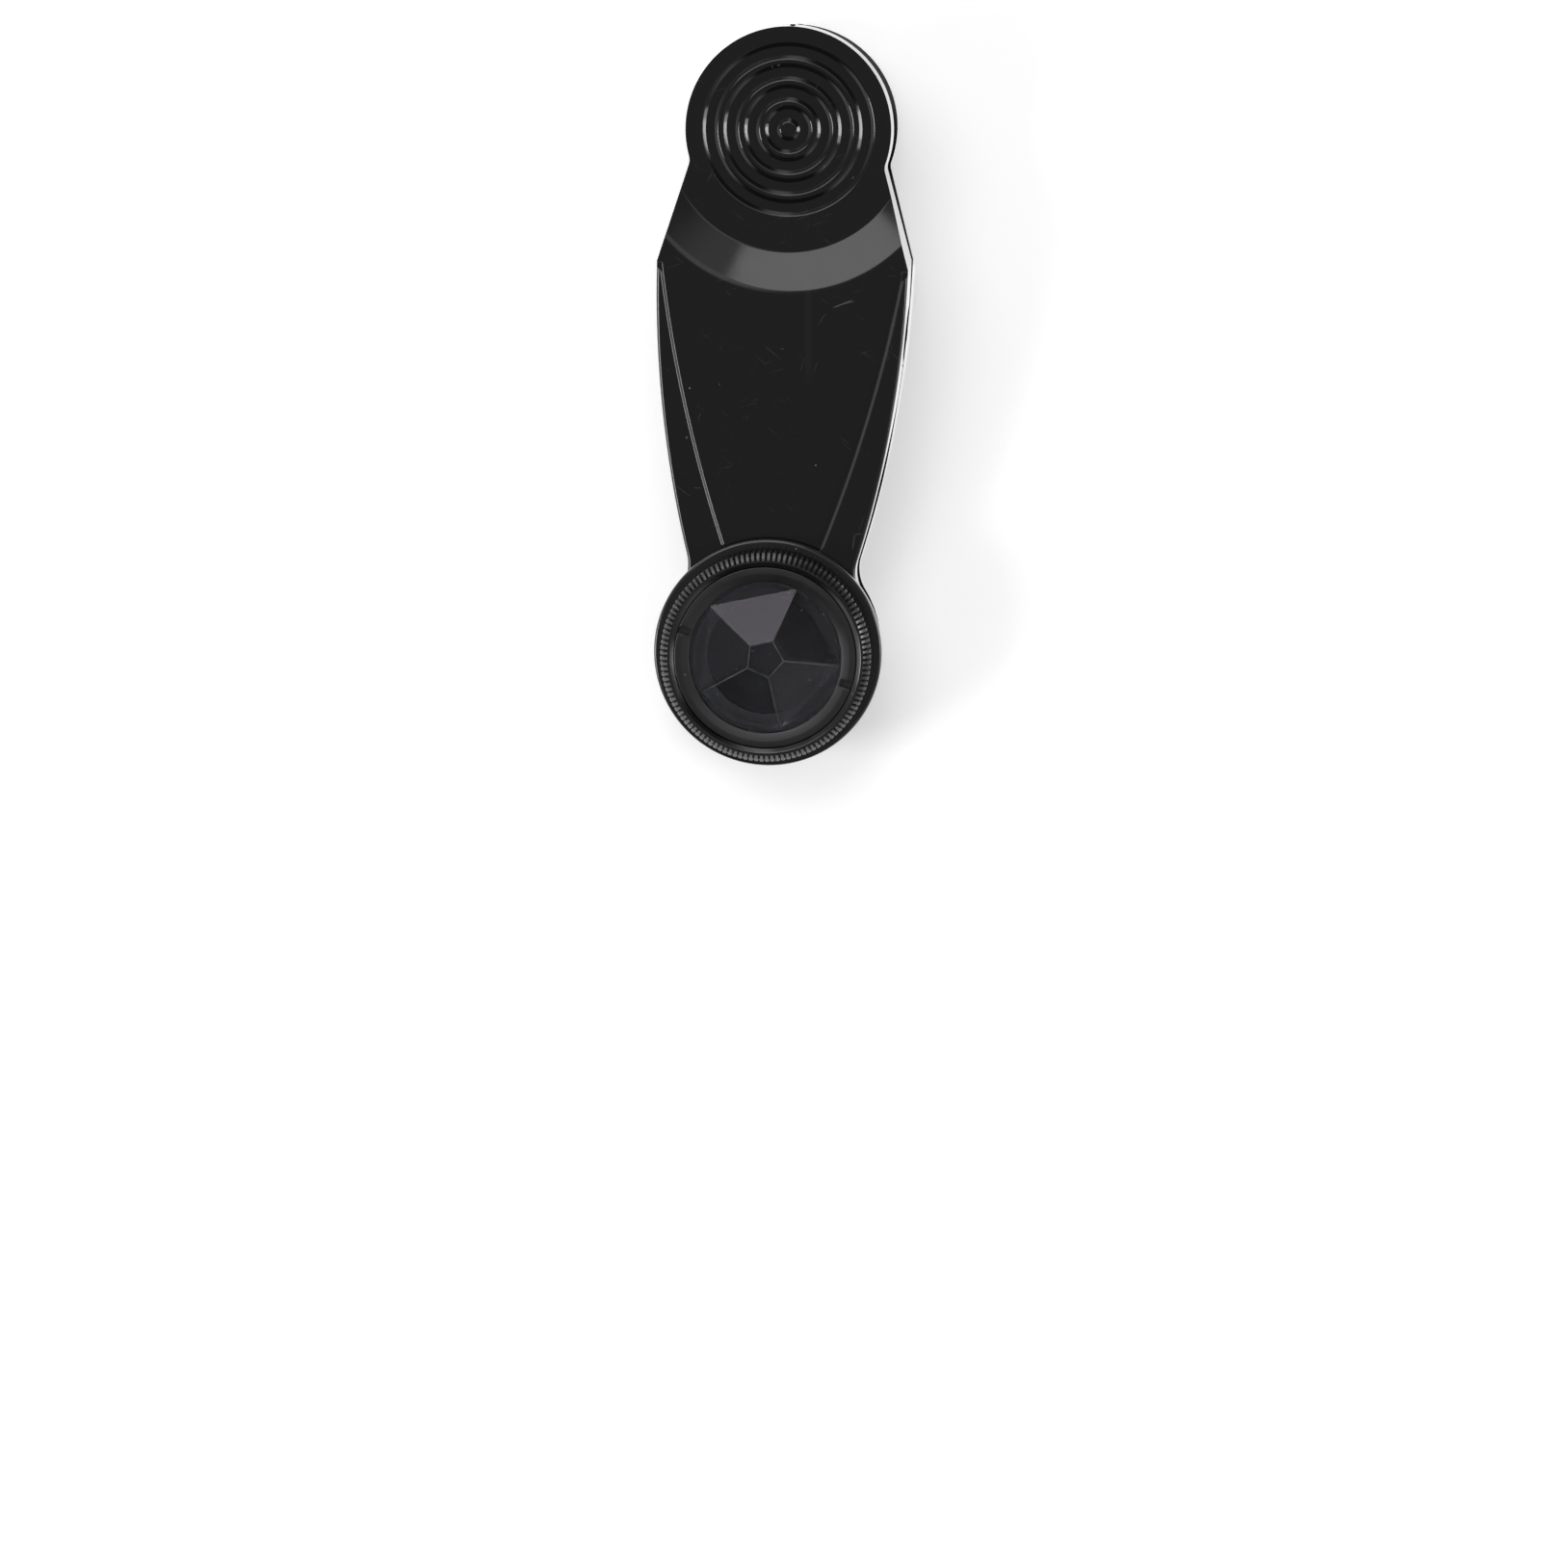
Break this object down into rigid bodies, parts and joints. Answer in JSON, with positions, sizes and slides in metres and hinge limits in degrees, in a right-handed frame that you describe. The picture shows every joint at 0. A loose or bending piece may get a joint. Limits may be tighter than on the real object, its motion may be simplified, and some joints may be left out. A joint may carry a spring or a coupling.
{
  "type": "clip-on phone lens",
  "caption": "Sprung plastic clip with grooved thumb pads and a turning faceted kaleidoscope lens in its front jaw.",
  "frame": {"origin": "under the middle of the clip, on the surface it lies on", "axes": "+Y along the clip to the thumb pads, +X to the right seen from the lens side, +Z out of the front arm"},
  "size_m": [0.0276, 0.0826, 0.0163],
  "materials": {
    "arm_plastic": "near-black moulded plastic, gloss with fine scuffs",
    "pin_steel": "ground steel",
    "spring_steel": "drawn spring wire",
    "pad_rubber": "matt black rubber",
    "lens_metal": "black anodised, satin",
    "washer_plastic": "natural slippery plastic",
    "glass": "polished clear glass",
    "ring_metal": "dark grey anodised, matt"
  },
  "bodies": {
    "rear_half": {"rear_arm": "arm_plastic", "rear_jaw_pad": "pad_rubber", "hinge_pin": "pin_steel", "torsion_spring": "spring_steel"},
    "front_half": {"front_arm": "arm_plastic", "front_jaw_pad": "pad_rubber"},
    "lens_mount": {"lens_base": "lens_metal", "slip_washer": "washer_plastic", "bezel_snap_ring": "spring_steel"},
    "bezel": {"knurled_bezel": "lens_metal", "glass_gasket": "pad_rubber", "prism_glass": "glass", "retaining_ring": "ring_metal"}
  },
  "joints": [
    {"name": "clip_open", "type": "hinge", "parent": "rear_half", "child": "front_half", "pos_m": [0, 0.00689, 0.0068], "axis": [-1, 0, 0], "range_deg": [0, 16.5], "stiffness_Nm_per_rad": 0.05, "springref_deg": -20.05, "deforming": ["torsion_spring"]},
    {"name": "lens_removal", "type": "slide", "parent": "front_half", "child": "lens_mount", "axis": [0, -0.1365, 0.9906], "range_m": [0, 0.012]},
    {"name": "bezel_turn", "type": "hinge", "parent": "lens_mount", "child": "bezel", "pos_m": [0, -0.02871, 0.00876], "axis": [0, -0.1365, 0.9906], "continuous": true}
  ]
}
